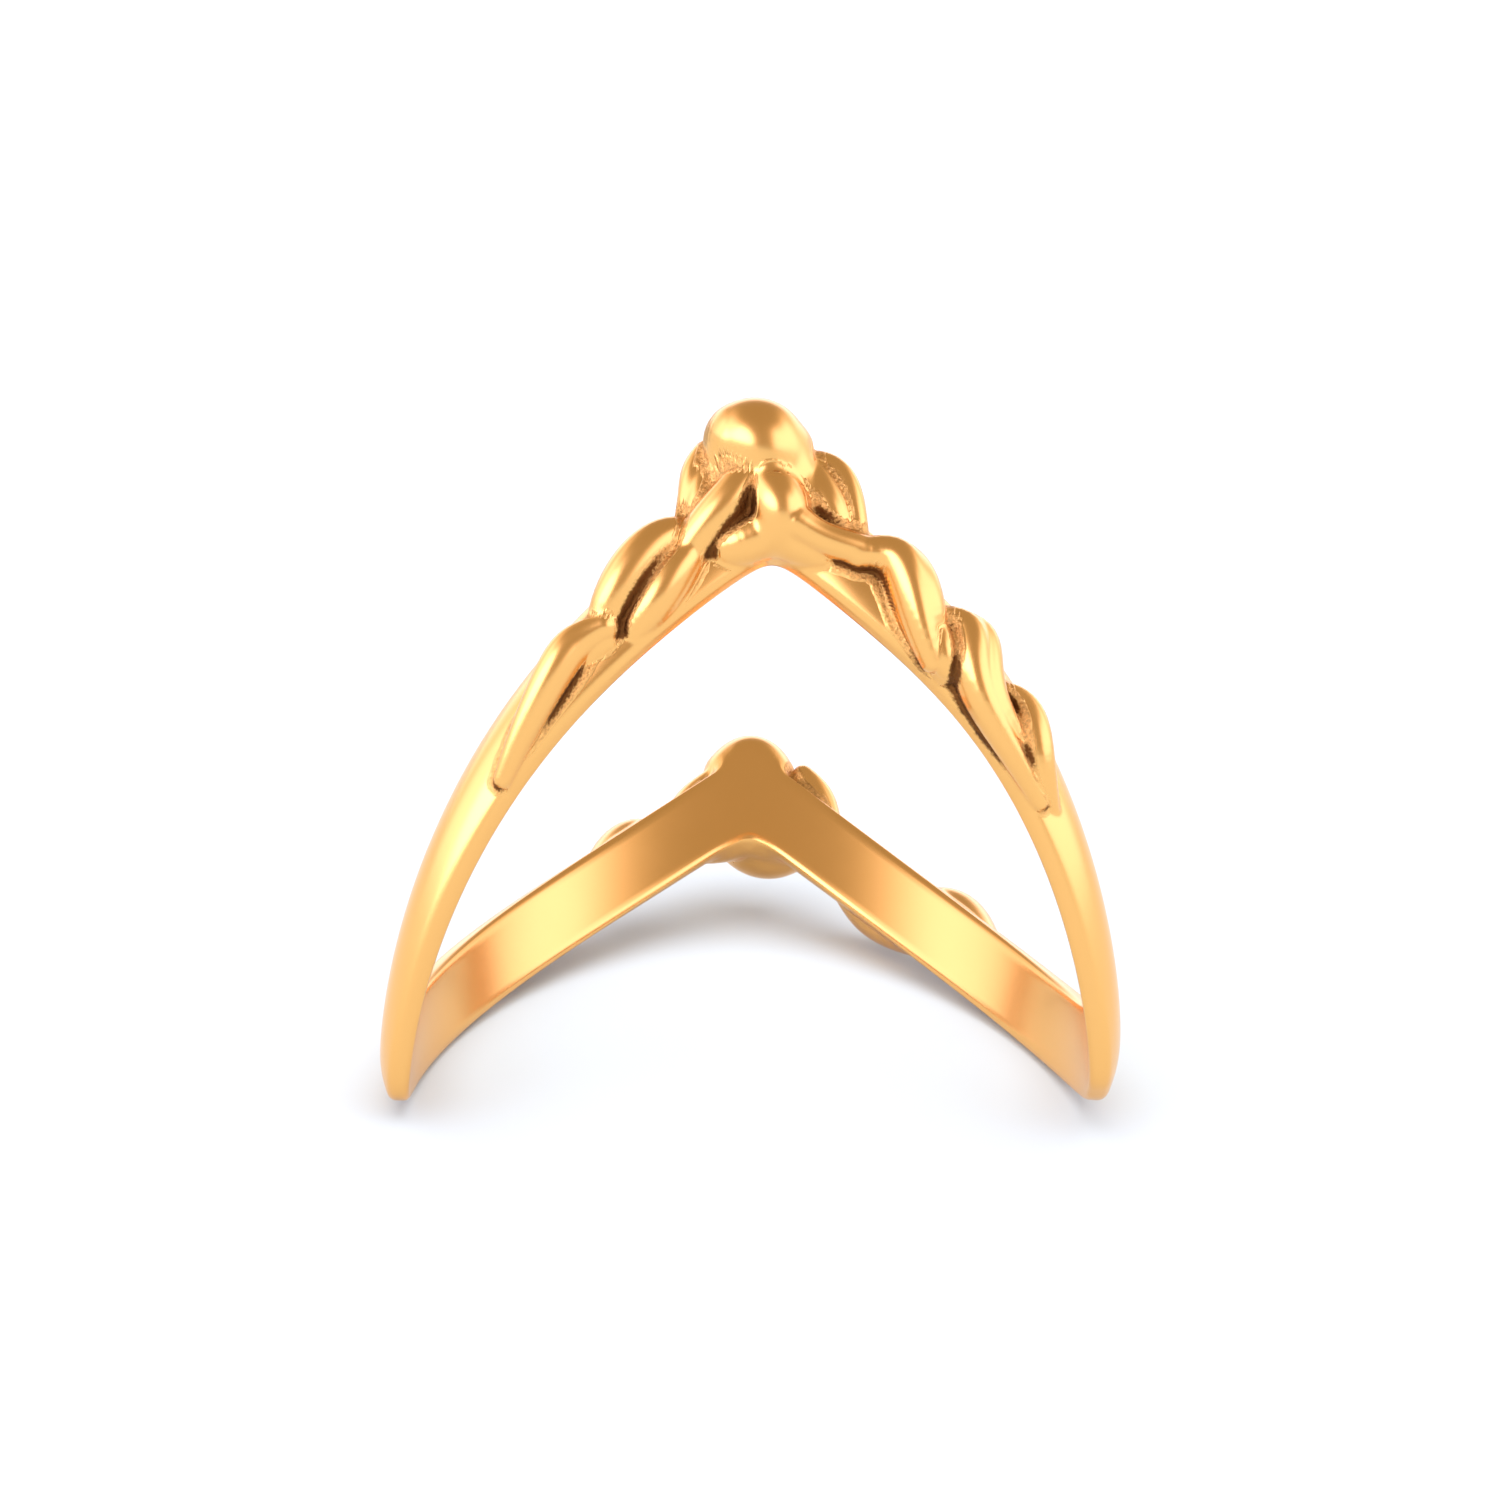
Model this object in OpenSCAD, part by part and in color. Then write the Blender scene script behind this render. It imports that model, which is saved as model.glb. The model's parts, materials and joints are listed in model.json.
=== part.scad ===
// A chevron ring: one cast band that climbs from two side tips to a point in front and a point
// behind, with a rope of melted-looking strands raised on its outer face.
// The band is worked out about the finger's axis, with the front point at -Y and the right-hand
// tip at +X, and is then tipped back until it lies on the table as it does by itself.

/* [Finger hole] */
// Inside diameter
finger_d = 17.3; // [15:0.1:22]

/* [Band] */
// Rise of the band's middle from the left-hand tip to the two points
point_rise = 11.2; // [9:0.1:13]
// How much higher the right-hand tip ends than the left-hand one
right_tip_lift = 0.85; // [0:0.05:1.2]
// Height of the band along the finger at the side tips
tip_band_h = 2.6; // [2.3:0.05:3.2]
// Height of the band along the finger at the two points
point_band_h = 2.55; // [2.3:0.05:3.2]
// Thickness of the band at its edges
edge_t = 0.5; // [0.4:0.02:0.7]
// Thickness of the band at the middle of the two points
point_t = 0.96; // [0.8:0.02:1.3]
// Thickness of the band at the middle of the side tips
tip_t = 0.8; // [0.7:0.02:1.1]
// Radius that the band's edges are rounded to
edge_r = 0.15; // [0.08:0.01:0.2]

/* [Strands] */
// Half the width of a full strand
strand_r = 0.6; // [0.5:0.02:0.7]
// Height of a strand's middle above the finger
strand_lift = 1; // [0.85:0.05:1.2]
// Width of the fillet where a full strand meets its neighbour or the band
fillet_w = 0.09; // [0.05:0.01:0.14]

/* [Facets] */
// Sections round the ring
section_count = 212; // [140:4:220]
// Points round each section
point_count = 28; // [20:1:29]

/* [Hidden] */

finger_r = finger_d / 2;
// The strands are laid out on the band as if it were unrolled at this radius.
unrolled_r = finger_r + (point_t + strand_lift) / 2;
// Softness of the bend at a point and at a tip, as shares of the quarter turn between them
point_soft = 0.03;
tip_soft = 0.06;
// The right-hand tip's lift fades away from the tip as this power of the way to it.
tip_fade = 5;
// How far each leg bows up halfway, as a share of the rise: [left, right]
front_bow = [0.02, 0.065];
back_bow = [0, -0.005];
// A strand stands up more than it is wide, by one over this share.
strand_squeeze = 0.75;
// Pieces that each strand is cut into along its length
strand_steps = 6;
// The rays that find the skin start this far out from the finger, inside the metal.
// It lies at this share of the thickness at the band's edges.
core_share = 0.84;
core_lift = core_share * edge_t;
// Rays lean towards the outer face and towards the ends of the band's height by these amounts.
ray_lean = 0.3;
ray_aspect = [0.9, 1.2];
// Sections crowd towards the two points by this share.
section_crowd = 0.25;
// A ray starts beyond every strand, at this many times a strand's lift and half width together,
// and closes in on the skin in this many steps.
start_share = 2.5;
ray_start = start_share * (strand_lift + strand_r);
ray_steps = 15;

// Each strand is one row of four knots from its nose to its tail. A knot holds the angle from the
// band's own point in degrees, plus to the right, and three shares: the place across the band's
// half height, plus upwards, the lift in strand lifts, and the half width in strand half widths.
ANGLE = 0;
ACROSS_SHARE = 1;
LIFT_SHARE = 2;
GIRTH_SHARE = 3;
last_knot = 3;

front_strands = [
    // knob over the front point, its left tip, and its slope to the right
    [[-4.5, 1.45, 1.2, 1.75], [-3, 1.3, 1.2, 1.9], [-2, 1.1, 1.15, 1.85], [0, 0.7, 0.85, 1.6]],
    [[-5, 1.4, 1.15, 1.25], [-6.5, 1.25, 1.1, 1], [-7.5, 1.15, 1.05, 0.8], [-8, 1.05, 0.95, 0.55]],
    [[1, 1.1, 1.1, 1.25], [3, 0.7, 1, 1], [5.5, 0.4, 0.95, 0.85], [8, 0.2, 0.8, 0.65]],
    // web under the fold, the fold, and the ridge that runs from it to the right
    [[-9, -0.15, 0.5, 0.7], [-3.5, -0.5, 0.72, 1], [3, -0.5, 0.72, 1], [8.5, -0.3, 0.5, 0.7]],
    [[-2.5, 0.85, 1.2, 0.7], [-1, 0.25, 1.34, 1], [0.5, -0.15, 1.28, 1.2], [0.5, -0.45, 1, 1.1]],
    [[3, -0.4, 1.4, 0.75], [6, -0.35, 1.3, 0.65], [9, -0.2, 1.22, 0.65], [13, 0.05, 1.15, 0.65]],
    // strand that crosses under the knob to the left, and the leaves beside the knob
    [[-3, 1, 1.25, 0.65], [-5, 0.5, 1.42, 0.85], [-9, 0.25, 1.22, 0.85], [-14, 0, 0.8, 0.65]],
    [[-11, 0.1, 0.8, 0.65], [-14, -0.15, 0.82, 0.85], [-17, -0.4, 0.75, 0.85], [-21.5, -0.55, 0.5, 0.6]],
    [[-10.5, 1.9, 0.85, 0.65], [-12, 1.65, 0.9, 0.65], [-12.5, 1.35, 0.92, 0.6], [-13.5, 1, 0.85, 0.45]],
    [[5.5, 1.25, 1, 0.55], [9, 1.3, 1.12, 0.6], [11, 0.95, 1.15, 0.55], [12.5, 0.35, 1, 0.45]],
    // rough webs that fill the hollows behind the leaves
    [[-10, 1.6, 0.8, 0.7], [-10.5, 1.25, 0.88, 0.75], [-11, 0.9, 0.88, 0.75], [-12, 0.6, 0.75, 0.6]],
    [[5, 1, 0.95, 0.75], [6.5, 0.7, 1.02, 0.85], [8, 0.45, 1, 0.85], [10, 0.25, 0.85, 0.65]],
    // two strands down the left leg, and the fold under the second one's nose
    [[-13.5, 0.45, 1, 0.65], [-18, 0.55, 1.16, 0.95], [-22.5, 0.25, 1.16, 0.9], [-26.5, -0.1, 0.85, 0.55]],
    [[-25, -0.25, 1.05, 0.6], [-30, -0.1, 1.13, 0.75], [-34, -0.35, 1.1, 0.7], [-44.5, -0.85, 0.66, 0.35]],
    [[-25.5, -0.4, 0.75, 0.5], [-28, -0.3, 0.7, 0.55], [-31, -0.25, 0.6, 0.5], [-34.5, -0.3, 0.45, 0.35]],
    // three strands down the right leg, the first two double, and two folds under their noses
    [[12.5, -0.05, 1.12, 0.6], [18, 0.35, 1.25, 0.85], [20.5, -0.15, 1.25, 0.8], [25, -0.9, 0.88, 0.45]],
    [[14.5, 0.2, 1, 0.65], [19.5, 0.45, 1.05, 0.9], [22, 0, 1.08, 0.95], [25.5, -0.4, 0.75, 0.55]],
    [[26, 0.1, 1, 0.55], [30, 0, 1.16, 0.8], [32.5, -0.75, 1.08, 0.65], [48, -0.8, 0.64, 0.3]],
    [[28, 0.25, 0.95, 0.6], [32.5, 0.2, 1.02, 0.85], [34.5, -0.5, 0.98, 0.75], [47.5, -0.3, 0.62, 0.35]],
    [[38, 0.05, 0.85, 0.5], [42, 0.05, 0.98, 0.75], [44.5, -0.4, 0.95, 0.7], [51.5, -0.4, 0.6, 0.3]],
    [[17, 0, 0.8, 0.3], [19.5, -0.4, 0.78, 0.35], [23, -0.7, 0.72, 0.35], [28, -0.85, 0.6, 0.25]],
    [[24.5, -0.25, 1, 0.55], [25.5, -0.5, 1.02, 0.6], [26.5, -0.7, 0.95, 0.55], [28.5, -0.75, 0.75, 0.35]],
];

back_strands = [
    // knob over the back point, and its slope to the left
    [[-3.5, 0.95, 0.95, 1.2], [-1, 1, 1.1, 1.45], [1, 1, 1.1, 1.45], [3.5, 0.9, 0.9, 1.15]],
    [[-1, 0.9, 0.9, 1.25], [-3, 0.6, 0.9, 1.15], [-6, 0.35, 0.85, 1], [-9, 0.2, 0.7, 0.75]],
    // fold, and the web under it
    [[-3.5, -0.2, 1.3, 0.9], [0, -0.5, 1.6, 1.3], [3, -0.6, 1.55, 1.25], [7, -0.45, 1.1, 0.85]],
    [[-9, -0.4, 0.5, 0.75], [-3, -0.55, 0.7, 1.15], [2.5, -0.55, 0.7, 1.15], [8, -0.4, 0.5, 0.75]],
    // strand that crosses under the knob to the right, and the leaves beside the knob
    [[3.5, 0.6, 1.45, 0.75], [6.5, 0.35, 1.4, 0.8], [9.5, 0.1, 1.2, 0.75], [13, -0.4, 0.6, 0.45]],
    [[9, 1.35, 0.65, 0.55], [11, 1.25, 0.75, 0.65], [12.5, 1.1, 0.8, 0.6], [14, 0.75, 0.7, 0.45]],
    [[-5, 1, 0.8, 0.6], [-8.5, 0.95, 0.95, 0.65], [-11, 0.75, 1, 0.65], [-12.5, 0.15, 0.85, 0.55]],
    // two strands down the left leg
    [[-13, 0.1, 0.85, 0.65], [-18.5, 0.65, 1, 1], [-22.5, 0.6, 1, 1], [-29, -0.15, 0.55, 0.6]],
    [[-25, -0.1, 0.8, 0.6], [-29.5, 0.3, 0.9, 0.85], [-36, -0.15, 0.85, 0.8], [-48, -0.7, 0.4, 0.45]],
    // three strands down the right leg
    [[12, 0.1, 0.95, 0.65], [18, -0.4, 1.05, 0.95], [22.5, -0.6, 1.05, 1], [31, -0.6, 0.5, 0.55]],
    [[26, 0, 0.8, 0.6], [33.5, 0.6, 1, 0.95], [38.5, 0.6, 1, 0.95], [48, -0.25, 0.45, 0.5]],
    [[43, -0.4, 0.65, 0.55], [47, -0.15, 0.8, 0.75], [51, -0.25, 0.75, 0.65], [58, -0.6, 0.4, 0.4]],
];

// The band's middle line. Angles run from the front point, plus to the right, up to half a turn.
function soft_ramp(x, soft) = (sqrt(x * x + soft * soft) - soft) / (sqrt(1 + soft * soft) - soft);
function way_to_tip(a) = 1 - abs(abs(a) - 90) / 90;
function bow(a) = (abs(a) < 90 ? front_bow : back_bow)[a < 0 ? 0 : 1];
function middle(a) =
    let (w = way_to_tip(a), k = (1 - cos(180 * w)) / 2)
    point_rise * ((1 - k) * (1 - soft_ramp(w, point_soft)) + k * soft_ramp(1 - w, tip_soft))
    + point_rise * bow(a) * pow(sin(180 * w), 2)
    + (a > 0 ? right_tip_lift * pow(w, tip_fade) : 0);

// The band's size at an angle: towards the points it takes their values, towards the tips the tips'.
function between(tip, point, a) = tip + (point - tip) * pow(cos(a), 2);
function half_height(a) = between(tip_band_h, point_band_h, a) / 2;
function thickness(a) = between(tip_t, point_t, a);
function wrapped(a) = a > 180 ? a - 360 : a < -180 ? a + 360 : a;
function lean(a) =
    let (climb = (middle(wrapped(a + 1)) - middle(wrapped(a - 1))) / (PI / 90 * unrolled_r))
    1 / sqrt(1 + climb * climb);

// Distance from the band's skin: out is the height above the finger, up the height above the middle.
function band_gap(out, up, half_h, mid_t, slope) =
    let (share = min(abs(up) / half_h, 1),
         t = edge_t + (mid_t - edge_t) * (1 - share * share),
         gap = [(abs(up) - half_h) * slope + edge_r, abs(out - t / 2) - t / 2 + edge_r])
    norm([max(gap.x, 0), max(gap.y, 0)]) + min(max(gap.x, gap.y), 0) - edge_r;

// A smooth curve through a strand's knots, at a share t of its length: each knot pulls fully where
// the curve passes it and not at all where the curve passes another one.
function product(list, i = 0) = i == len(list) ? 1 : list[i] * product(list, i + 1);
function pull(i, t) = product([for (j = [0 : last_knot]) if (j != i) (last_knot * t - j) / (i - j)]);
function through(knots, t) = [for (i = [0 : last_knot]) pull(i, t)] * knots;

// Strands in real sizes: a list of [[way round, height, squeezed lift], half width]. A strand's
// fillet grows with the square of its widest half width, so thin folds keep their edges.
function around(a) = PI / 180 * a * unrolled_r;
function own_angle(a) = abs(a) <= 90 ? a : a < 0 ? -180 - a : 180 - a;
function laid(k, back) =
    let (a = back ? wrapped(180 - k[ANGLE]) : k[ANGLE])
    [[around(k[ANGLE]), middle(a) + k[ACROSS_SHARE] * half_height(a),
      k[LIFT_SHARE] * strand_lift * strand_squeeze], k[GIRTH_SHARE] * strand_r];
function strand(knots, back) = [for (i = [0 : strand_steps]) laid(through(knots, i / strand_steps), back)];
function own_fillet(s) = fillet_w * pow(max([for (k = s) k[1]]) / strand_r, 2);
function strand_set(rows, back) = [for (knots = rows) strand(knots, back)];
front_set = strand_set(front_strands, false);
back_set = strand_set(back_strands, true);

// Distance from a strand: the nearest of its short tapered pieces
function piece_gap(p, a, b) =
    let (d = b[0] - a[0], v = p - a[0], t = max(0, min(1, v * d / (d * d))))
    norm(v - t * d) - a[1] - t * (b[1] - a[1]);
function strand_gap(p, s) = min([for (i = [1 : strand_steps]) piece_gap(p, s[i - 1], s[i])]);
function filleted(a, b, width) =
    let (h = max(width - abs(a - b), 0) / width)
    min(a, b) - h * h * width / 4;
function joined(gap, p, set, i = 0) =
    i == len(set) ? gap
    : joined(filleted(gap, strand_gap(p, set[i]), own_fillet(set[i])), p, set, i + 1);
function nearby(x, set) =
    [for (s = set)
        let (low = min([for (k = s) k[0].x - k[1]]), high = max([for (k = s) k[0].x + k[1]]),
             spare = own_fillet(s))
        if (x > low - spare && x < high + spare) s];

// One section of the ring, as [radius, height] points that run once round the metal
function ray(j) =
    let (a = 360 * j / point_count, b = a - ray_lean * sin(a) * 180 / PI,
         d = [cos(b) * ray_aspect.x, sin(b) * ray_aspect.y])
    d / norm(d);
function reach(d, t, x, m, half_h, mid_t, slope, set, left) =
    left == 0 ? t
    : let (out = core_lift + t * d.x, up = t * d.y,
           gap = joined(band_gap(out, up, half_h, mid_t, slope), [x, m + up, out * strand_squeeze], set))
      reach(d, t - max(gap, -out), x, m, half_h, mid_t, slope, set, left - 1);
function section(a) =
    let (m = middle(a), half_h = half_height(a), mid_t = thickness(a), slope = lean(a),
         x = around(own_angle(a)), set = nearby(x, abs(a) <= 90 ? front_set : back_set))
    [for (j = [0 : point_count - 1])
        let (d = ray(j), t = reach(d, ray_start, x, m, half_h, mid_t, slope, set, ray_steps))
        [finger_r + max(core_lift + t * d.x, 0), m + t * d.y]];

// All points of the skin about the finger's axis, and the triangles between them
function section_angle(i) =
    let (a = 360 * i / section_count)
    wrapped(a - section_crowd * sin(2 * a) * 90 / PI);
ring_points =
    [for (i = [0 : section_count - 1])
        let (a = section_angle(i))
        for (p = section(a)) [p[0] * sin(a), -p[0] * cos(a), p[1]]];
function at(i, j) = (i % section_count) * point_count + j % point_count;
ring_faces =
    [for (i = [0 : section_count - 1], j = [0 : point_count - 1], upper = [true, false])
        upper ? [at(i, j), at(i, j + 1), at(i + 1, j + 1)] : [at(i, j), at(i + 1, j + 1), at(i + 1, j)]];

// The centre of mass, from the tetrahedra under the skin's triangles
function corners(f) = [for (k = f) ring_points[k]];
volumes = [for (f = ring_faces) let (c = corners(f)) c[0] * cross(c[1], c[2]) / 6];
middles = [for (f = ring_faces) let (c = corners(f)) (c[0] + c[1] + c[2]) / 4];
mass_centre = volumes * middles / (volumes * [for (v = volumes) 1]);

// The ring is tipped back about X until the line between its lowest points, one on each side,
// passes under the centre of mass, and is then rolled about Y until both touch the table.
function tipped(p, tilt) = [p.x, p.y * cos(tilt) + p.z * sin(tilt), p.z * cos(tilt) - p.y * sin(tilt)];
function rolled(p, roll) = [p.x * cos(roll) + p.z * sin(roll), p.y, p.z * cos(roll) - p.x * sin(roll)];
function lowest(points) = let (low = min([for (p = points) p.z])) [for (p = points) if (p.z == low) p][0];
function feet(tilt) =
    let (points = [for (p = ring_points) tipped(p, tilt)])
    [lowest([for (p = points) if (p.x < 0) p]), lowest([for (p = points) if (p.x > 0) p])];
function overhang(tilt) =
    let (f = feet(tilt), c = tipped(mass_centre, tilt), share = (c.x - f[0].x) / (f[1].x - f[0].x))
    f[0].y + share * (f[1].y - f[0].y) - c.y;
function balance(low, high, left) =
    let (half = (low + high) / 2)
    left == 0 ? half : overhang(half) < 0 ? balance(half, high, left - 1) : balance(low, half, left - 1);
least_tilt = 20;
most_tilt = 75;
balance_steps = 18;
rest_tilt = balance(least_tilt, most_tilt, balance_steps);
rest_feet = feet(rest_tilt);
rest_roll = atan((rest_feet[1].z - rest_feet[0].z) / (rest_feet[1].x - rest_feet[0].x));

// The origin lies on the table, below the middle of the box round the resting ring.
function resting(p) = rolled(tipped(p, rest_tilt), rest_roll);
resting_points = [for (p = ring_points) resting(p)];
function column(k) = [for (p = resting_points) p[k]];
function halfway(list) = (min(list) + max(list)) / 2;
origin_shift = [-halfway(column(0)), -halfway(column(1)), -min(column(2))];

module cast_ring() {
    color([0.86, 0.63, 0.3])
        translate(origin_shift)
        polyhedron(resting_points, ring_faces, convexity = 8);
}

cast_ring();
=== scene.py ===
# %% [markdown]
# # A cast chevron ring, lying on a table
# The ring is one piece of metal. Its band climbs from two side tips to a point in front and to
# another behind, and a rope of melted-looking strands stands up from its outer face. It lies
# tipped back on its two rear legs, as a ring of this shape does when it is put down.
#
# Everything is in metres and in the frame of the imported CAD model, so the ring below lands
# where the CAD ring lies. Sizes are named in millimetres first, because that is how a ring
# maker thinks of them.

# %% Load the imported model
import json
import math

import bmesh
import bpy
import numpy as np
from mathutils import Matrix, Vector


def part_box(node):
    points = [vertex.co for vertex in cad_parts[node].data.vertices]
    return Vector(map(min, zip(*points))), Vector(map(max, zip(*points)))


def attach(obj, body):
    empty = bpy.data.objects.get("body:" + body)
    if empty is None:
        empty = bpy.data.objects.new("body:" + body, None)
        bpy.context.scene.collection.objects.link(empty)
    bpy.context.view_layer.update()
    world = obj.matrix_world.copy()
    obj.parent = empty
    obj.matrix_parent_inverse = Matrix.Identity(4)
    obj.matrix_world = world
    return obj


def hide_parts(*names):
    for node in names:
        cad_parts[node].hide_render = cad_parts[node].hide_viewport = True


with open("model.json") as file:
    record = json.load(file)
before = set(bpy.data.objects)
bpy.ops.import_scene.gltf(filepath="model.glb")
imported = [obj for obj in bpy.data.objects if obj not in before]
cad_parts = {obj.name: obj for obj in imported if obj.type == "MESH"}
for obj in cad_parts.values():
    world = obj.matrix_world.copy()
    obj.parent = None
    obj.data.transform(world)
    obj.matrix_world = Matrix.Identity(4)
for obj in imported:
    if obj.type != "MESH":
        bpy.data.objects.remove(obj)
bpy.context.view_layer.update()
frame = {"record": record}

MM = 0.001

# %% [markdown]
# ## Where the finger's axis lies
# The ring is easiest to shape standing up, with the finger's axis vertical and the front point
# at -Y. The record says where that axis really is once the ring lies on the table, in its
# mount called finger_seat. Reading it from there, and not typing two angles again, keeps the
# shaped ring and the CAD ring together if the resting pose is worked out anew.

# %% The resting pose
SEAT_HEIGHT = 7.2  # the seat's middle, above the left tip along the finger's axis

seat = next(m for m in frame["record"]["mounts"] if m["name"] == "finger_seat")
finger_axis = Vector(seat["axis"]).normalized()
ring_right = Vector((finger_axis.z, 0, -finger_axis.x)).normalized()
ring_back = finger_axis.cross(ring_right)
ring_origin = Vector(seat["pos_m"]) - SEAT_HEIGHT * MM * finger_axis
turned = Matrix((ring_right, ring_back, finger_axis)).transposed().to_4x4()
resting = Matrix.Translation(ring_origin) @ turned
print("The finger's axis leans back", round(math.degrees(math.asin(finger_axis.y)), 2), "degrees")

# %% [markdown]
# ## The camera
# The photograph is taken from in front with a long lens, looking a little down. Its lines were
# fitted to the ring's own edges, so the camera is known best from the standing ring: how far
# it is away in finger radii, how it looks down, and how it is turned. The resting pose then
# carries it along. A camera placed first makes every later picture comparable.

# %% Place the camera
FINGER_R = 8.65
CAMERA_AWAY = 20.0  # in finger radii
CAMERA_LOOKS = math.radians(-23.87)  # up from the standing ring's level
CAMERA_TURN = math.radians(1.25)
CAMERA_ROLL = math.radians(-1.72)
CAMERA_RISE = 0.926  # in finger radii
PHOTO_SIDE = 1500
FOCAL_PIXELS = 6769
SENSOR_MM = 36

look_up = Vector((0, math.sin(CAMERA_LOOKS), math.cos(CAMERA_LOOKS)))
look_on = Vector((0, math.cos(CAMERA_LOOKS), -math.sin(CAMERA_LOOKS)))
right = Vector((1, 0, 0)) * math.cos(CAMERA_ROLL) - look_up * math.sin(CAMERA_ROLL)
up = Vector((1, 0, 0)) * math.sin(CAMERA_ROLL) + look_up * math.cos(CAMERA_ROLL)
eye = (CAMERA_RISE * up - CAMERA_AWAY * look_on) * FINGER_R * MM
facing = Matrix((right, up, -look_on)).transposed().to_4x4()
standing_camera = Matrix.Rotation(-CAMERA_TURN, 4, "Z") @ Matrix.Translation(eye) @ facing

lens = bpy.data.cameras.new("photo_camera")
lens.sensor_width = SENSOR_MM
lens.lens = FOCAL_PIXELS / PHOTO_SIDE * SENSOR_MM
lens.clip_start = 0.01
lens.clip_end = 20
camera = bpy.data.objects.new("photo_camera", lens)
bpy.context.scene.collection.objects.link(camera)
camera.matrix_world = resting @ standing_camera
bpy.context.scene.camera = camera
print("The camera stands at", [round(v, 3) for v in camera.matrix_world.translation], "m")

# %% [markdown]
# ## The band's line
# Unrolled, the band zigzags: up to the front point, down to a tip, up to the back point, down
# to the other tip. Each bend is a little soft, and the front legs bow up between their ends.
# A spline through hand-placed points could draw this too, but a formula with named sizes keeps
# the four legs alike and says which number to change.

# %% The middle line, and the band's height and thickness
POINT_RISE = 11.2
RIGHT_TIP_LIFT = 0.85
TIP_BAND_H, POINT_BAND_H = 2.6, 2.55
EDGE_T, POINT_T, TIP_T = 0.5, 0.96, 0.8
EDGE_R = 0.15
STRAND_R, STRAND_LIFT, STRAND_SQUEEZE = 0.6, 1.0, 0.75
POINT_SOFT, TIP_SOFT, LIFT_SOFT, TIP_FADE = 0.03, 0.06, 0.02, 5
FRONT_BOW, BACK_BOW = (0.02, 0.065), (0.0, -0.005)  # left and right leg, as shares of the rise
UNROLLED_R = FINGER_R + (POINT_T + STRAND_LIFT) / 2


def soft_ramp(x, soft):
    return (np.sqrt(x * x + soft * soft) - soft) / (math.sqrt(1 + soft * soft) - soft)


def wrapped(angle):
    return (angle + 180.0) % 360.0 - 180.0


def middle(angle):
    """Height of the band's middle, at degrees from the front point, to the right counted plus."""
    angle = wrapped(np.asarray(angle, float))
    way = 1 - np.abs(np.abs(angle) - 90) / 90
    turn = (1 - np.cos(np.pi * way)) / 2
    front = np.where(angle < 0, *FRONT_BOW)
    bow = np.where(np.abs(angle) < 90, front, np.where(angle < 0, *BACK_BOW))
    line = (1 - turn) * (1 - soft_ramp(way, POINT_SOFT)) + turn * soft_ramp(1 - way, TIP_SOFT)
    near_tip = (1 - soft_ramp(1 - way, LIFT_SOFT)) ** TIP_FADE
    lift = np.where(angle > 0, RIGHT_TIP_LIFT * near_tip, 0)
    return POINT_RISE * (line + bow * np.sin(np.pi * way) ** 2) + lift


def between(tip, point, angle):
    return tip + (point - tip) * np.cos(np.radians(angle)) ** 2


def half_height(angle):
    return between(TIP_BAND_H, POINT_BAND_H, angle) / 2


def lean(angle):
    climb = (middle(angle + 1) - middle(angle - 1)) / (math.pi / 90 * UNROLLED_R)
    return 1 / np.sqrt(1 + climb * climb)


BENDS = {"front point": 0.0, "right tip": 90.0, "back point": 180.0, "left tip": -90.0}
for name, angle in BENDS.items():
    print(f"The middle of the {name} is {float(middle(angle)):.2f} mm up")

# %% [markdown]
# ## The strands
# The relief looks poured: rounded strands start with a blunt nose, swell, and run out into the
# band, each lying over the next. Sculpting brushes are one way to make it. Here each strand is
# a row of four knots on a smooth curve, because a row can be read, moved and compared with the
# photograph one strand at a time. A knot holds the angle from the band's own point, and shares
# of the band's half height, of the strand lift and of the strand's half width.

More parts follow.
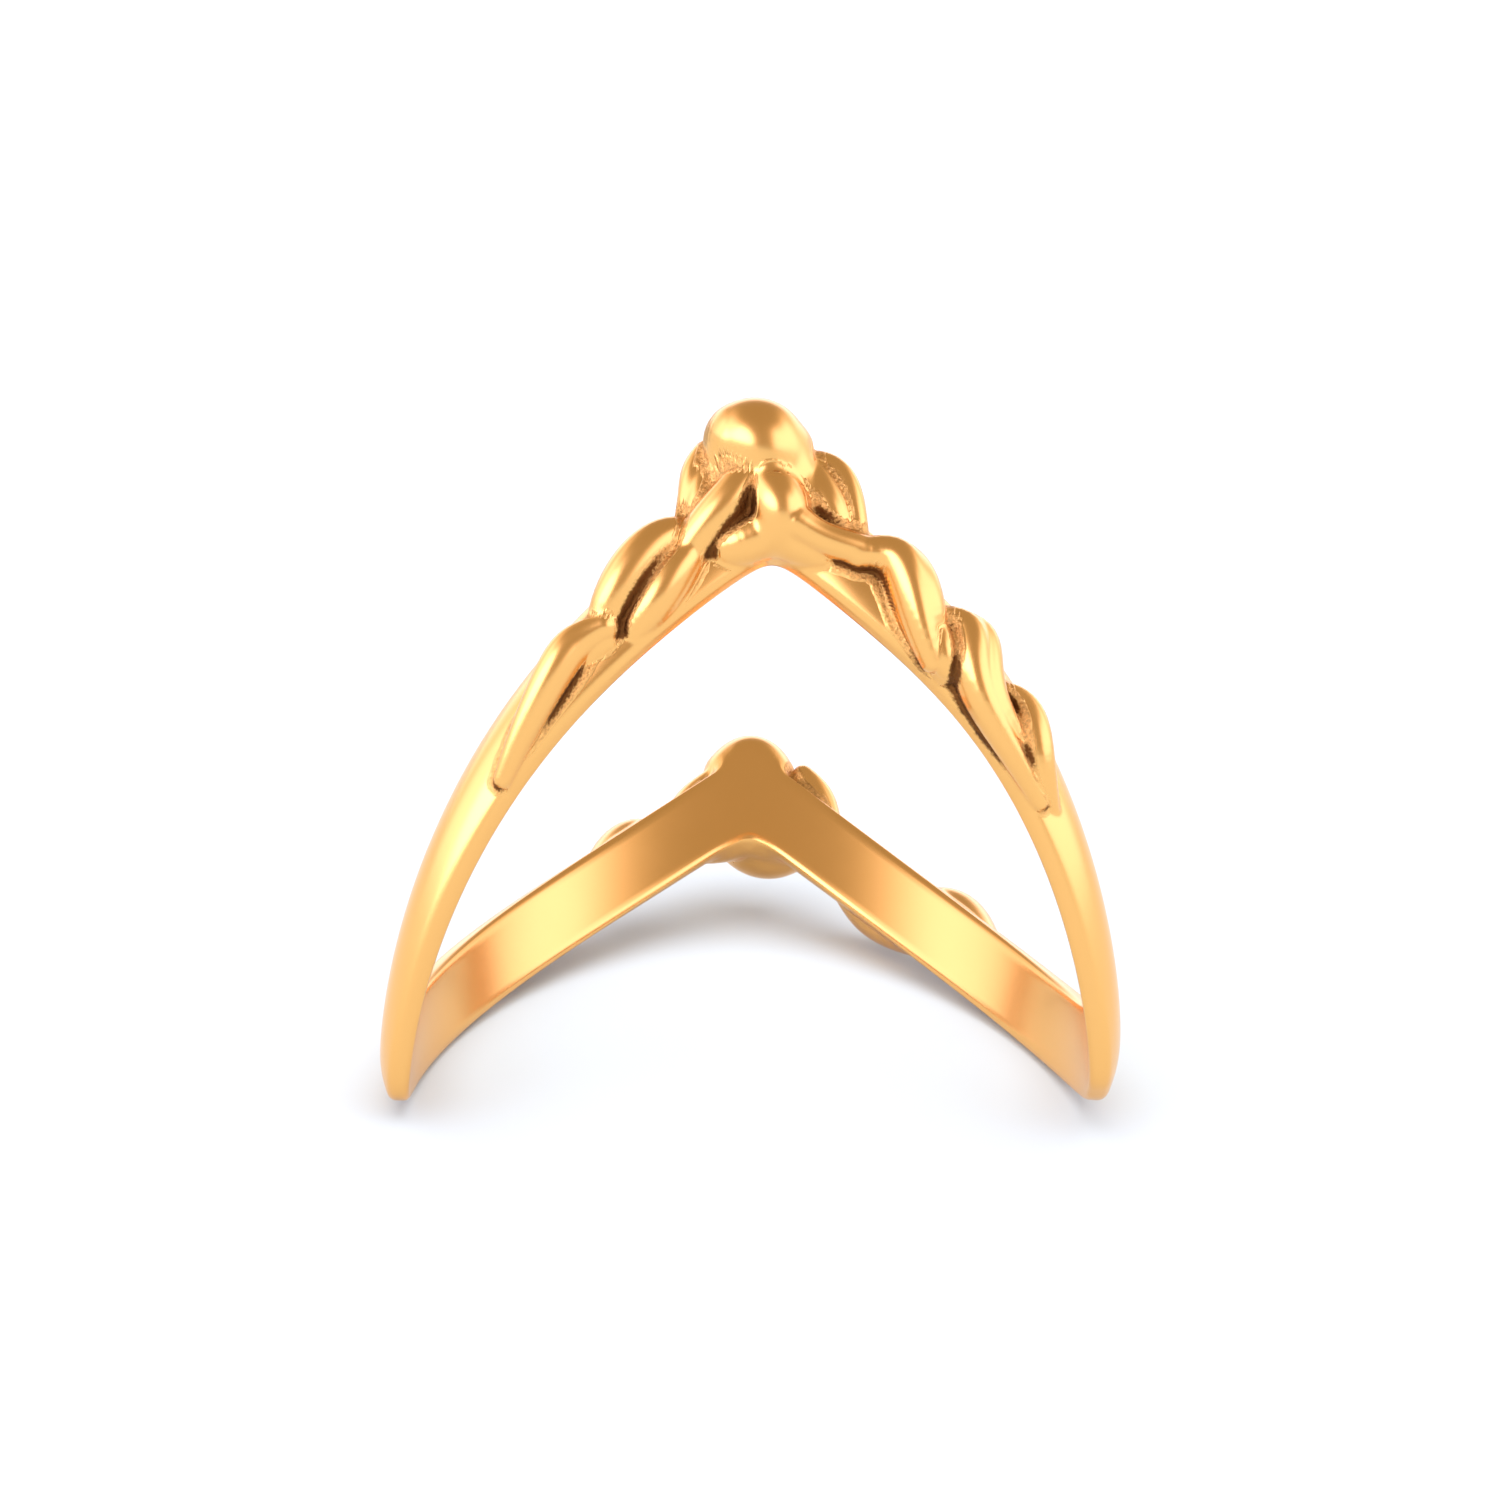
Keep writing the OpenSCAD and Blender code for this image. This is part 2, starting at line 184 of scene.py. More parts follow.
# %% The strands' knots
FRONT_STRANDS = (
    # knob over the front point, its left tip, and its slope to the right
    ((-4.5, 1.45, 1.2, 1.75), (-3, 1.3, 1.2, 1.9), (-2, 1.1, 1.15, 1.85), (0, 0.7, 0.85, 1.6)),
    ((-5, 1.4, 1.15, 1.25), (-6.5, 1.25, 1.1, 1), (-7.5, 1.15, 1.05, 0.8), (-8, 1.05, 0.95, 0.55)),
    ((1, 1.1, 1.1, 1.25), (3, 0.7, 1, 1), (5.5, 0.4, 0.95, 0.85), (8, 0.2, 0.8, 0.65)),
    # web under the fold, the fold, and the ridge that runs from it to the right
    ((-9, -0.15, 0.5, 0.7), (-3.5, -0.5, 0.72, 1), (3, -0.5, 0.72, 1), (8.5, -0.3, 0.5, 0.7)),
    ((-2.5, 0.85, 1.2, 0.7), (-1, 0.25, 1.34, 1), (0.5, -0.15, 1.28, 1.2), (0.5, -0.45, 1, 1.1)),
    ((3, -0.4, 1.4, 0.75), (6, -0.35, 1.3, 0.65), (9, -0.2, 1.22, 0.65), (13, 0.05, 1.15, 0.65)),
    # strand that crosses under the knob to the left, and the leaves beside the knob
    ((-3, 1, 1.25, 0.65), (-5, 0.5, 1.42, 0.85), (-9, 0.25, 1.22, 0.85), (-14, 0, 0.8, 0.65)),
    ((-11, 0.1, 0.8, 0.65), (-14, -0.15, 0.82, 0.85),
     (-17, -0.4, 0.75, 0.85), (-21.5, -0.55, 0.5, 0.6)),
    ((-10.5, 1.9, 0.85, 0.65), (-12, 1.65, 0.9, 0.65),
     (-12.5, 1.35, 0.92, 0.6), (-13.5, 1, 0.85, 0.45)),
    ((5.5, 1.25, 1, 0.55), (9, 1.3, 1.12, 0.6), (11, 0.95, 1.15, 0.55), (12.5, 0.35, 1, 0.45)),
    # rough webs that fill the hollows behind the leaves
    ((-10, 1.6, 0.8, 0.7), (-10.5, 1.25, 0.88, 0.75),
     (-11, 0.9, 0.88, 0.75), (-12, 0.6, 0.75, 0.6)),
    ((5, 1, 0.95, 0.75), (6.5, 0.7, 1.02, 0.85), (8, 0.45, 1, 0.85), (10, 0.25, 0.85, 0.65)),
    # two strands down the left leg, and the fold under the second one's nose
    ((-13.5, 0.45, 1, 0.65), (-18, 0.55, 1.16, 0.95),
     (-22.5, 0.25, 1.16, 0.9), (-26.5, -0.1, 0.85, 0.55)),
    ((-25, -0.25, 1.05, 0.6), (-30, -0.1, 1.13, 0.75),
     (-34, -0.35, 1.1, 0.7), (-44.5, -0.85, 0.66, 0.35)),
    ((-25.5, -0.4, 0.75, 0.5), (-28, -0.3, 0.7, 0.55),
     (-31, -0.25, 0.6, 0.5), (-34.5, -0.3, 0.45, 0.35)),
    # three strands down the right leg, the first two double, and two folds under their noses
    ((12.5, -0.05, 1.12, 0.6), (18, 0.35, 1.25, 0.85),
     (20.5, -0.15, 1.25, 0.8), (25, -0.9, 0.88, 0.45)),
    ((14.5, 0.2, 1, 0.65), (19.5, 0.45, 1.05, 0.9), (22, 0, 1.08, 0.95), (25.5, -0.4, 0.75, 0.55)),
    ((26, 0.1, 1, 0.55), (30, 0, 1.16, 0.8), (32.5, -0.75, 1.08, 0.65), (48, -0.8, 0.64, 0.3)),
    ((28, 0.25, 0.95, 0.6), (32.5, 0.2, 1.02, 0.85),
     (34.5, -0.5, 0.98, 0.75), (47.5, -0.3, 0.62, 0.35)),
    ((38, 0.05, 0.85, 0.5), (42, 0.05, 0.98, 0.75),
     (44.5, -0.4, 0.95, 0.7), (51.5, -0.4, 0.6, 0.3)),
    ((17, 0, 0.8, 0.3), (19.5, -0.4, 0.78, 0.35), (23, -0.7, 0.72, 0.35), (28, -0.85, 0.6, 0.25)),
    ((24.5, -0.25, 1, 0.55), (25.5, -0.5, 1.02, 0.6),
     (26.5, -0.7, 0.95, 0.55), (28.5, -0.75, 0.75, 0.35)),
)
BACK_STRANDS = (
    # knob over the back point, and its slope to the left
    ((-3.5, 0.95, 0.95, 1.2), (-1, 1, 1.1, 1.45), (1, 1, 1.1, 1.45), (3.5, 0.9, 0.9, 1.15)),
    ((-1, 0.9, 0.9, 1.25), (-3, 0.6, 0.9, 1.15), (-6, 0.35, 0.85, 1), (-9, 0.2, 0.7, 0.75)),
    # fold, and the web under it
    ((-3.5, -0.2, 1.3, 0.9), (0, -0.5, 1.6, 1.3), (3, -0.6, 1.55, 1.25), (7, -0.45, 1.1, 0.85)),
    ((-9, -0.4, 0.5, 0.75), (-3, -0.55, 0.7, 1.15), (2.5, -0.55, 0.7, 1.15), (8, -0.4, 0.5, 0.75)),
    # strand that crosses under the knob to the right, and the leaves beside the knob
    ((3.5, 0.6, 1.45, 0.75), (6.5, 0.35, 1.4, 0.8), (9.5, 0.1, 1.2, 0.75), (13, -0.4, 0.6, 0.45)),
    ((9, 1.35, 0.65, 0.55), (11, 1.25, 0.75, 0.65), (12.5, 1.1, 0.8, 0.6), (14, 0.75, 0.7, 0.45)),
    ((-5, 1, 0.8, 0.6), (-8.5, 0.95, 0.95, 0.65), (-11, 0.75, 1, 0.65), (-12.5, 0.15, 0.85, 0.55)),
    # two strands down the left leg
    ((-13, 0.1, 0.85, 0.65), (-18.5, 0.65, 1, 1), (-22.5, 0.6, 1, 1), (-29, -0.15, 0.55, 0.6)),
    ((-25, -0.1, 0.8, 0.6), (-29.5, 0.3, 0.9, 0.85),
     (-36, -0.15, 0.85, 0.8), (-48, -0.7, 0.4, 0.45)),
    # three strands down the right leg
    ((12, 0.1, 0.95, 0.65), (18, -0.4, 1.05, 0.95), (22.5, -0.6, 1.05, 1), (31, -0.6, 0.5, 0.55)),
    ((26, 0, 0.8, 0.6), (33.5, 0.6, 1, 0.95), (38.5, 0.6, 1, 0.95), (48, -0.25, 0.45, 0.5)),
    ((43, -0.4, 0.65, 0.55), (47, -0.15, 0.8, 0.75), (51, -0.25, 0.75, 0.65), (58, -0.6, 0.4, 0.4)),
)
print(len(FRONT_STRANDS), "strands in front and", len(BACK_STRANDS), "behind")

# %% Lay the strands out on the unrolled band
STRAND_STEPS = 20


def through(knots, t):
    """The smooth curve through four knots, at shares t of its length."""
    k, t = np.array(knots), t[:, None]
    return (
        -4.5 * (t - 1 / 3) * (t - 2 / 3) * (t - 1) * k[0] + 13.5 * t * (t - 2 / 3) * (t - 1) * k[1]
        - 13.5 * t * (t - 1 / 3) * (t - 1) * k[2] + 4.5 * t * (t - 1 / 3) * (t - 2 / 3) * k[3]
    )


def strand(knots, back):
    """Rows of way round, height, squeezed lift and half width, in millimetres."""
    angle, across, lift, width = through(knots, np.linspace(0, 1, STRAND_STEPS + 1)).T
    ring_angle = 180.0 - angle if back else angle
    return np.stack([
        np.radians(angle) * UNROLLED_R,
        middle(ring_angle) + across * half_height(ring_angle),
        lift * STRAND_LIFT * STRAND_SQUEEZE,
        width * STRAND_R,
    ], 1)


strands = [(strand(row, False), False) for row in FRONT_STRANDS]
strands += [(strand(row, True), True) for row in BACK_STRANDS]
longest = max(np.ptp(line[:, 0]) for line, _ in strands)
print("The longest strand runs", round(longest, 2), "mm round the ring")

# %% [markdown]
# ## How far is the skin?
# The ring's skin is where one function of a place is zero: negative in the metal, positive
# outside. The band gives one distance, each strand another, and a smooth minimum joins them
# with a small fillet, as liquid metal would. Booleans between solids would leave hard seams
# here, and a voxel remesh would lose the fine grooves.

# %% Distance from the band, from the strands, and from both
FILLET_GAIN = 0.25  # a strand's fillet grows with the square of its widest half width
STRAND_REACH = 0.6  # how far round the ring a strand is still felt, past its own half width


def band_gap(out, rise, angle):
    half = half_height(angle)
    share = np.clip(np.abs(rise) / half, 0, 1)
    t = EDGE_T + (between(TIP_T, POINT_T, angle) - EDGE_T) * (1 - share**2)
    across = (np.abs(rise) - half) * lean(angle) + EDGE_R
    through_wall = np.abs(out - t / 2) - t / 2 + EDGE_R
    corner = np.hypot(np.maximum(across, 0), np.maximum(through_wall, 0))
    return corner + np.minimum(np.maximum(across, through_wall), 0) - EDGE_R


def strand_gap(place, line):
    nearest = np.full(len(place), np.inf)
    for a, b in zip(line[:-1], line[1:]):
        d = b[:3] - a[:3]
        v = place - a[:3]
        t = np.clip(v @ d / (d @ d), 0, 1)
        gap = np.linalg.norm(v - t[:, None] * d, axis=1) - a[3] - t * (b[3] - a[3])
        nearest = np.minimum(nearest, gap)
    return nearest


def filleted(a, b, width):
    h = np.maximum(width - np.abs(a - b), 0) / width
    return np.minimum(a, b) - h * h * width / 4


def skin_gap(angle, out, height):
    """Distance from the skin, at an angle, so far out from the finger and so far up."""
    gap = band_gap(out, height - middle(angle), angle)
    back = np.abs(wrapped(angle)) > 90
    own = np.where(back, wrapped(180.0 - angle), wrapped(angle))
    place = np.stack([np.radians(own) * UNROLLED_R, height, out * STRAND_SQUEEZE], 1)
    for line, behind in strands:
        widest = line[:, 3].max()
        reach = widest + STRAND_REACH
        first, last = line[:, 0].min() - reach, line[:, 0].max() + reach
        near = (back == behind) & (place[:, 0] > first) & (place[:, 0] < last)
        gap[near] = filleted(gap[near], strand_gap(place[near], line), FILLET_GAIN * widest**2)
    return np.maximum(gap, -out)


# %% [markdown]
# ## From a flat sheet to the ring
# The mesh starts as a flat sheet of small squares. One side of it is rolled round the wall of
# the ring and the other round the finger, and the two seams are merged. Each point then leaves
# the wall's core in its own direction, and slides along it until it meets the skin. That keeps
# the faces in tidy rings and rows, which bend light evenly and never fold over. Spinning a
# circle makes the same hoop, but takes minutes at this many faces.

# %% Roll up the sheet
SECTIONS = 1000
SECTION_POINTS = 96
CORE_LIFT = 0.42
RAY_LEAN, RAY_ASPECT = 0.3, (0.9, 1.2)  # more rays go outwards and to the band's edges
SECTION_CROWD = 0.25  # sections stand closer together at the points than at the tips
HOOP_WIRE_R = 0.3
SEAM_GAP = 0.0001

sheet = bmesh.new()
bmesh.ops.create_grid(sheet, x_segments=SECTIONS, y_segments=SECTION_POINTS, size=1.0)
for point in sheet.verts:
    turn, spoke = point.co.x * math.pi, point.co.y * math.pi
    spread = FINGER_R + CORE_LIFT + HOOP_WIRE_R * math.cos(spoke)
    point.co = (spread * math.sin(turn), -spread * math.cos(turn), HOOP_WIRE_R * math.sin(spoke))
bmesh.ops.remove_doubles(sheet, verts=sheet.verts[:], dist=SEAM_GAP)
ring_mesh = bpy.data.meshes.new("gold_ring")
sheet.to_mesh(ring_mesh)
print("The hoop has", len(sheet.verts), "points and", len(sheet.faces), "faces")
sheet.free()

# %% Slide every point out to the skin
RAY_START = 4.0
RAY_STEPS = 60
CLOSE_ENOUGH = 0.002

place = np.zeros(len(ring_mesh.vertices) * 3)
ring_mesh.vertices.foreach_get("co", place)
place = place.reshape(-1, 3)
turn = np.arctan2(place[:, 0], -place[:, 1])
spoke = np.arctan2(place[:, 2], np.hypot(place[:, 0], place[:, 1]) - FINGER_R - CORE_LIFT)
angle = np.degrees(turn - SECTION_CROWD * np.sin(2 * turn) / 2)
spoke = spoke - RAY_LEAN * np.sin(spoke)
ray = np.stack([np.cos(spoke) * RAY_ASPECT[0], np.sin(spoke) * RAY_ASPECT[1]], 1)
ray /= np.linalg.norm(ray, axis=1)[:, None]
level = middle(angle)
travel = np.full(len(place), RAY_START)
moving = np.arange(len(place))
for step in range(RAY_STEPS):
    at, aim = travel[moving], ray[moving]
    gap = skin_gap(angle[moving], CORE_LIFT + at * aim[:, 0], level[moving] + at * aim[:, 1])
    travel[moving] -= gap
    moving = moving[np.abs(gap) > CLOSE_ENOUGH]
print(len(moving), "points still moved in the last step")
out = np.maximum(CORE_LIFT + travel * ray[:, 0], 0)
radius = FINGER_R + out
standing = np.stack([radius * np.sin(np.radians(angle)), -radius * np.cos(np.radians(angle)),
                     level + travel * ray[:, 1]], 1)

# %% [markdown]
# ## Even out the faces
# Where a strand's side stands across the rows, the points are far apart and the rows show as
# ribs. So each point drifts towards the middle of its neighbours, as a smooth brush does, and
# is then put back on the skin. The shape stays, and only the spacing changes. A voxel remesh
# would space the faces evenly too, but it rounds off the grooves.

# %% Drift and put back
EASE_STEPS = 14
EASE_SHARE = 0.6
FEEL_STEP = 0.02
LEAST_SLOPE = 0.3  # keeps a point from leaping where two strands meet
RELIEF_OUT = 0.25  # only points this far above the finger drift


def skin_at(points):
    """Distance from the skin, and which way it faces, at places of the standing ring."""
    angle = np.degrees(np.arctan2(points[:, 0], -points[:, 1]))
    out = np.hypot(points[:, 0], points[:, 1]) - FINGER_R
    height = points[:, 2]
    gap = skin_gap(angle, out, height)
    turn_step = np.degrees(FEEL_STEP / UNROLLED_R)
    slope = np.stack([
        skin_gap(angle + turn_step, out, height) - gap,
        skin_gap(angle, out + FEEL_STEP, height) - gap,
        skin_gap(angle, out, height + FEEL_STEP) - gap,
    ], 1) / FEEL_STEP
    turn = np.radians(angle)
    round_way = np.stack([np.cos(turn), np.sin(turn), 0 * turn], 1)
    out_way = np.stack([np.sin(turn), -np.cos(turn), 0 * turn], 1)
    steep = slope[:, :1] * round_way + slope[:, 1:2] * out_way
    steep[:, 2] += slope[:, 2]
    size = np.maximum(np.linalg.norm(steep, axis=1), LEAST_SLOPE)
    return gap / size, steep / size[:, None]


ends = np.zeros(len(ring_mesh.edges) * 2, int)
ring_mesh.edges.foreach_get("vertices", ends)
ends = ends.reshape(-1, 2)
neighbours = np.bincount(ends.ravel(), minlength=len(standing))


def neighbour_mean(values):
    total = np.bincount(ends[:, 0], values[ends[:, 1]], len(values))
    total += np.bincount(ends[:, 1], values[ends[:, 0]], len(values))
    return total / neighbours


relief = np.flatnonzero(out > RELIEF_OUT)
for step in range(EASE_STEPS):
    middles = np.stack([neighbour_mean(standing[:, k]) for k in range(3)], 1)
    drift = (middles - standing)[relief]
    gap, face = skin_at(standing[relief])
    drift -= (drift * face).sum(1)[:, None] * face
    standing[relief] += EASE_SHARE * drift - gap[:, None] * face
gap, facing_out = skin_at(standing)
print("The skin's points are within", float(np.abs(gap[relief]).max().round(4)), "mm of it")

# %% [markdown]
# ## Painted shade in the grooves and under the strands
# In the grooves of the real ring the metal is sandy. Under the strands and deep in the grooves
# it lies in shade, which is painted into its colour as dark brown. Feelers find those places.
# They stand on the skin like short straws, and their ends come close to other metal only in a
# groove: long ones find the hollows, short ones the creases. Places that face the table get the
# most painted shade. The result is kept with the points, for the material to read. It could be
# painted by hand, but would have to be painted again after each change.

# %% Feel for the recesses
FEEL_OUT, FEEL_NEAR = 0.55, 0.22  # lengths of the feelers for hollows and for creases
HOLLOW_SHADE, CREASE_SHADE = (1.5, 0.2, 0.6), (2.5, 0.5, 0.9)  # painted shade of hollows and creases: gain, begin, share when upright
DOWN_GAIN = 2
FINGER_WALL = 0.02  # what is nearer to the finger than this is the plain inner wall
SOFTEN_STEPS = 5  # how far a groove's painted shade spreads, in points


def felt(length):
    """1 where a feeler's end, this far out of the skin, meets other metal; 0 in the open."""
    gap, _ = skin_at(standing + length * facing_out)
    met = np.clip(1 - gap / length, 0, 1)
    met[np.hypot(standing[:, 0], standing[:, 1]) < FINGER_R + FINGER_WALL] = 0
    return met


def darkened(met, gain, begin, upright):
    """How much painted shade the metal gets where feelers met other metal, most of all where it
    faces down.
    """
    return np.clip(gain * met - begin, 0, 1) * np.clip(upright + downward, 0, 1)


recess, crease = felt(FEEL_OUT), felt(FEEL_NEAR)
home = np.array(resting)
downward = -DOWN_GAIN * (facing_out @ home[2, :3])
# painted shade: darkest in hollows and creases that face the table
under = np.maximum(darkened(recess, *HOLLOW_SHADE), darkened(crease, *CREASE_SHADE))
for step in range(SOFTEN_STEPS):
    under = neighbour_mean(under)
met_share = float((recess > 0).mean())
print("Feelers meet other metal at", round(met_share * 100, 1), "percent of the points")

# %% [markdown]
# ## On to the table
# So far the ring stood up, in millimetres. One product with the resting pose turns and shrinks
# every point to where the CAD ring lies, so the object itself stays unturned at the origin. A
# parent or a turned object would look the same here, but patterns and exports would slip.

# %% Lay the ring down
lying = standing * MM @ home[:3, :3].T + home[:3, 3]
ring_mesh.vertices.foreach_set("co", lying.ravel())
ring_mesh.update()
shaped = bmesh.new()
shaped.from_mesh(ring_mesh)
bmesh.ops.recalc_face_normals(shaped, faces=shaped.faces[:])
shaped.to_mesh(ring_mesh)
shaped.free()
ring_mesh.polygons.foreach_set("use_smooth", np.ones(len(ring_mesh.polygons), bool))
# the points keep the recess, and the painted shade that darkens the gold's colour
for name, values in (("recess", recess), ("under", under)):
    ring_mesh.attributes.new(name, "FLOAT", "POINT").data.foreach_set("value", values)
gold_ring = bpy.data.objects.new("gold_ring", ring_mesh)
bpy.context.scene.collection.objects.link(gold_ring)
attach(gold_ring, "root")
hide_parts("cast_ring")
low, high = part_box("cast_ring")
print("It passes the CAD ring's box by", ((lying.min(0) - np.array(low)) / MM).round(3), "and",
      ((lying.max(0) - np.array(high)) / MM).round(3), "mm")

# %% [markdown]
# ## Shader maths that reads like maths
# A material's pattern is a sum of small expressions. Wrapping a node's output in a class that
# knows plus, minus and times lets them be written as such, and each operation adds its node.


# %% A small class for sockets
class Sock:
    def __init__(self, tree, socket):
        self.tree = tree
        self.socket = socket

    def node(self, kind, inputs=None, out=0, **settings):
        """Any node: its type, its settings first, then values or links by input number or name."""
        n = self.tree.nodes.new(kind)
        for name, value in settings.items():
            setattr(n, name, value)
        for key, value in (inputs or {}).items():
            if isinstance(value, Sock):
                self.tree.links.new(value.socket, n.inputs[key])
            else:
                n.inputs[key].default_value = value
        return Sock(self.tree, n.outputs[out])

    def maths(self, operation, *values):
        return self.node("ShaderNodeMath", dict(enumerate(values)), operation=operation)

    def __add__(self, other): return self.maths("ADD", self, other)
    def __radd__(self, other): return self.maths("ADD", other, self)
    def __sub__(self, other): return self.maths("SUBTRACT", self, other)
    def __rsub__(self, other): return self.maths("SUBTRACT", other, self)
    def __mul__(self, other): return self.maths("MULTIPLY", self, other)
    def __rmul__(self, other): return self.maths("MULTIPLY", other, self)

    def ramp(self, low, high):
        """0 up to low, 1 from high on, smooth between."""
        ends = {0: self, 1: low, 2: high, 3: 0.0, 4: 1.0}
        return self.node("ShaderNodeMapRange", ends, interpolation_type="SMOOTHSTEP")

    def noise(self, place, scale, detail=2.0, rough=0.5):
        values = {"Vector": place, "Scale": scale, "Detail": detail, "Roughness": rough}
        return self.node("ShaderNodeTexNoise", values)

    def mix(self, share, a, b):
        """The colour a where share is 0, and b where it is 1."""
        return self.node("ShaderNodeMix", {0: share, 6: a, 7: b}, out=2, data_type="RGBA")


print("Sockets can be added, multiplied and mixed")

# %% [markdown]
# ## The gold
# The metal is a warm yellow gold with a soft polish, so it shows wide gradients and no sharp
# mirror images. Three things keep it from looking like plastic: faint waves that polishing
# leaves, a fine sandy grain with dark specks where the wheel doesn't reach, and painted shade,
# a dark brown deep under the strands and in the grooves. A picture wrapped round the ring could
# hold them, but nodes stay sharp at any size and need no unwrapping.

# %% Mix the gold
# the dark brown is painted shade under the strands and in the grooves, and also the sandy specks'
# colour
GOLD, SHADE_AND_SPECK_GOLD = (0.88, 0.475, 0.15, 1), (0.16, 0.06, 0.015, 1)
GRAIN_SCALE, PATCH_SCALE, WAVE_SCALE = 11000.0, 900.0, 500.0
SAND_EDGE, SAND_PATCHES = (0.14, 0.36), 0.3  # where a recess begins and is fully sandy
SHADE_EDGE, SHADE_GRAIN = (0.12, 0.3), 0.35  # the same for the painted shade under the strands and in the grooves
SPECK_EDGE, SPECK_SHARE = (0.35, 0.6), 0.4
POLISH, SAND_ROUGH, PATCH_ROUGH = 0.26, 0.16, 0.05
WAVE_HEIGHT, SAND_HEIGHT = 0.25, 2.0
BUMP_SHARE, BUMP_DEPTH = 0.6, 0.00004

gold = bpy.data.materials.new("polished_gold")
gold.use_nodes = True
tree = gold.node_tree
shader = tree.nodes["Principled BSDF"]
start = Sock(tree, None)
place_socket = start.node("ShaderNodeTexCoord", out="Object")
hollow = start.node("ShaderNodeAttribute", out="Fac", attribute_name="recess")
shade = start.node("ShaderNodeAttribute", out="Fac", attribute_name="under")
patches = start.noise(place_socket, PATCH_SCALE, 3.0, 0.6)
grain = start.noise(place_socket, GRAIN_SCALE, 3.0, 0.7)
waves = start.noise(place_socket, WAVE_SCALE, 1.0)
sandy = (hollow + (patches - 0.5) * SAND_PATCHES).ramp(*SAND_EDGE)
# painted shade, broken up a little by the grain
shade_share = (shade + (grain - 0.5) * SHADE_GRAIN).ramp(*SHADE_EDGE)
specks = sandy * (1.0 - grain.ramp(*SPECK_EDGE)) * SPECK_SHARE
# painted shade and the dark specks both pull the gold towards the dark brown
colour = start.mix(shade_share.maths("MAXIMUM", shade_share, specks), GOLD, SHADE_AND_SPECK_GOLD)
roughness = POLISH + sandy * SAND_ROUGH + (patches - 0.5) * PATCH_ROUGH
height = waves * WAVE_HEIGHT + sandy * grain * SAND_HEIGHT
depths = {"Strength": BUMP_SHARE, "Distance": BUMP_DEPTH, "Height": height}
bump = start.node("ShaderNodeBump", depths, out="Normal")
for name, result in (("Base Color", colour), ("Roughness", roughness), ("Normal", bump)):
    tree.links.new(result.socket, shader.inputs[name])
shader.inputs["Metallic"].default_value = 1
ring_mesh.materials.append(gold)
print("The gold has", len(tree.nodes), "nodes")

# %% [markdown]
# ## Table and light
# The photograph has a white table in a pale room, and what the ring mirrors says where the light
# stands. Overhead and straight in front the room is dim, which draws the tan stripes along the
# tops of the strands. Both sides are bright, a little less so towards the back, and a low bright
# strip stands straight behind. The brightest place is a window low in front on the left. All of
# that is one soft dome, because lamps would have hard edges in the metal. One wide lamp overhead
# lights only the table, casts its soft shadow, and doesn't show in the metal. The table's paper
# is a pale, cool grey that this light turns white, so the ring's warm glow doesn't tint it.

# %% Lay the table
TABLE_HALF = 3.0
PAPER = (0.54, 0.615, 0.62, 1)

table = bmesh.new()
bmesh.ops.create_grid(table, x_segments=1, y_segments=1, size=TABLE_HALF)
table_mesh = bpy.data.meshes.new("white_table")
table.to_mesh(table_mesh)
table.free()
white_table = bpy.data.objects.new("white_table", table_mesh)
bpy.context.scene.collection.objects.link(white_table)
paper = bpy.data.materials.new("white_paper")
paper.use_nodes = True
paper_shader = paper.node_tree.nodes["Principled BSDF"]
paper_shader.inputs["Base Color"].default_value = PAPER
paper_shader.inputs["Roughness"].default_value = 0.9
paper_shader.inputs["Specular IOR Level"].default_value = 0.0
table_mesh.materials.append(paper)
print("The table lies at", round(white_table.location.z, 3), "m")

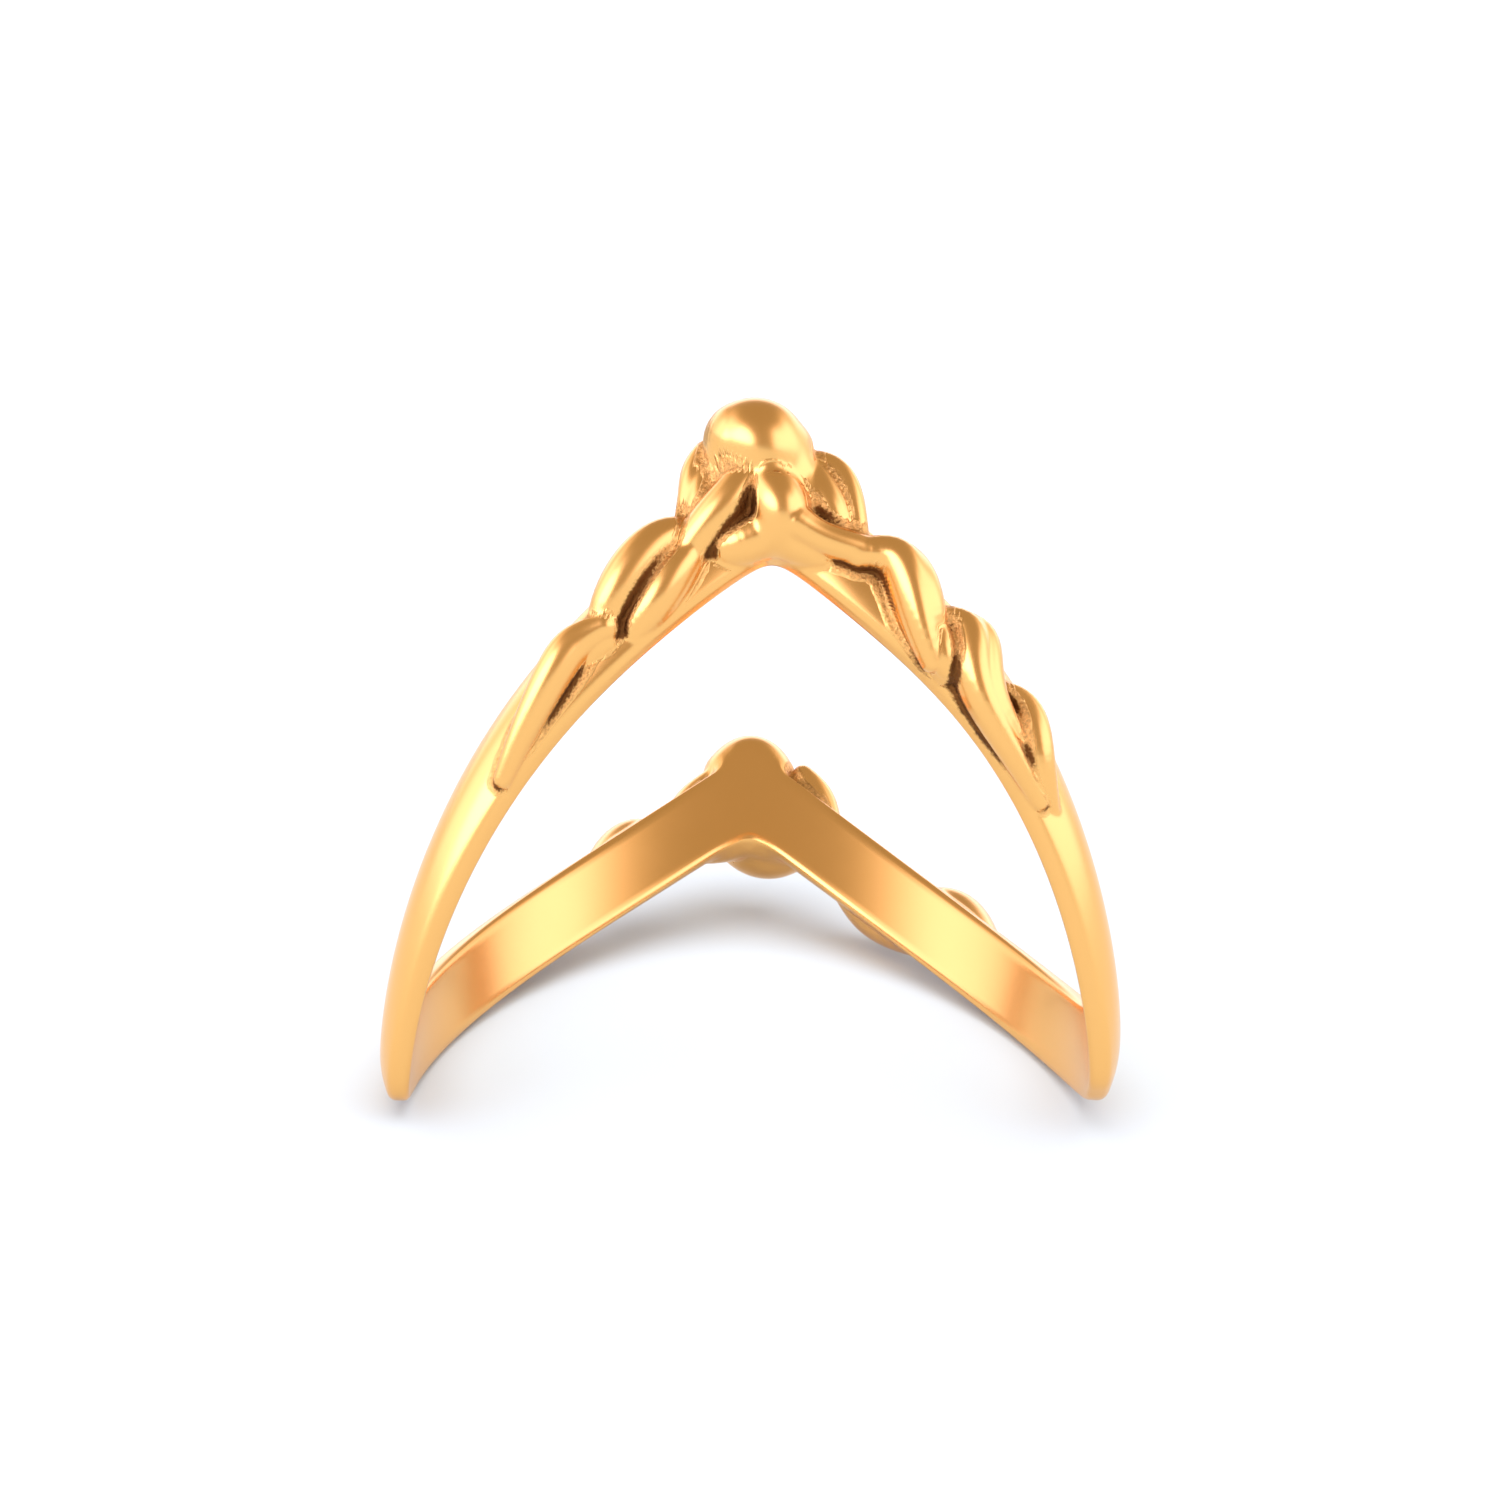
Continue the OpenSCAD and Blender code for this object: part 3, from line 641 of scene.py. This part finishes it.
# %% Light the room
ROOM_TOP, ROOM_SIDE, ROOM_BACK, ROOM_WINDOW = 0.54, 2.15, 2.0, 4.0
SIDE_EDGE, CEILING_EDGE = (0.08, 0.4), (0.5, 0.85)  # where each change begins and is done
BACK_EDGE, BACK_DIM = (0.1, 0.6), 0.6
STRIP_EDGE, STRIP_TOP = (0.35, 0.8), (0.2, 0.5)
WINDOW_EDGE = (0.83, 0.94)
WINDOW_WAY = Vector((-0.7, -0.7, 0.12)).normalized()
DIM_TONE, BRIGHT_TONE = (1.0, 0.835, 0.63, 1), (1.0, 0.99, 1.25, 1)

world = bpy.data.worlds.new("studio")
bpy.context.scene.world = world
world.use_nodes = True
room = Sock(world.node_tree, None)
way = room.node("ShaderNodeTexCoord", out="Generated")
parts = room.node("ShaderNodeSeparateXYZ", {0: way}).socket.node.outputs
side_ways, back_ways, up_ways = (Sock(world.node_tree, parts[k]) for k in "XYZ")
side = (side_ways * side_ways).ramp(*SIDE_EDGE) * (1.0 - up_ways.ramp(*CEILING_EDGE))
side = side * (1.0 - back_ways.ramp(*BACK_EDGE) * BACK_DIM)
behind = back_ways.ramp(*STRIP_EDGE) * (1.0 - up_ways.ramp(*STRIP_TOP))
aim = {0: way, 1: tuple(WINDOW_WAY)}
window = room.node("ShaderNodeVectorMath", aim, out="Value", operation="DOT_PRODUCT")
glow = ROOM_TOP + side * (ROOM_SIDE - ROOM_TOP)
glow = glow + behind * (ROOM_BACK - glow)
glow = glow + window.ramp(*WINDOW_EDGE) * (ROOM_WINDOW - glow)
tone = room.mix(glow.ramp(ROOM_TOP, ROOM_SIDE), DIM_TONE, BRIGHT_TONE)
background = world.node_tree.nodes["Background"]
world.node_tree.links.new(glow.socket, background.inputs["Strength"])
world.node_tree.links.new(tone.socket, background.inputs["Color"])
bpy.context.scene.view_settings.view_transform = "Standard"
print("The room is dim overhead and in front, bright at the sides, and brightest at the window")

# %% Hang the lamp over the table
LAMP_UP, LAMP_WIDE, LAMP_WATTS = 0.5, 0.75, 4.25
LAMP_TONE = (1.06, 1.0, 1.1)

lamp_light = bpy.data.lights.new("table_lamp", "AREA")
lamp_light.size = LAMP_WIDE
lamp_light.energy = LAMP_WATTS
lamp_light.color = LAMP_TONE
table_lamp = bpy.data.objects.new("table_lamp", lamp_light)
table_lamp.location = (0, 0, LAMP_UP)
table_lamp.visible_glossy = False
bpy.context.scene.collection.objects.link(table_lamp)
print("One lamp,", LAMP_WIDE, "m wide, hangs", LAMP_UP, "m over the table")
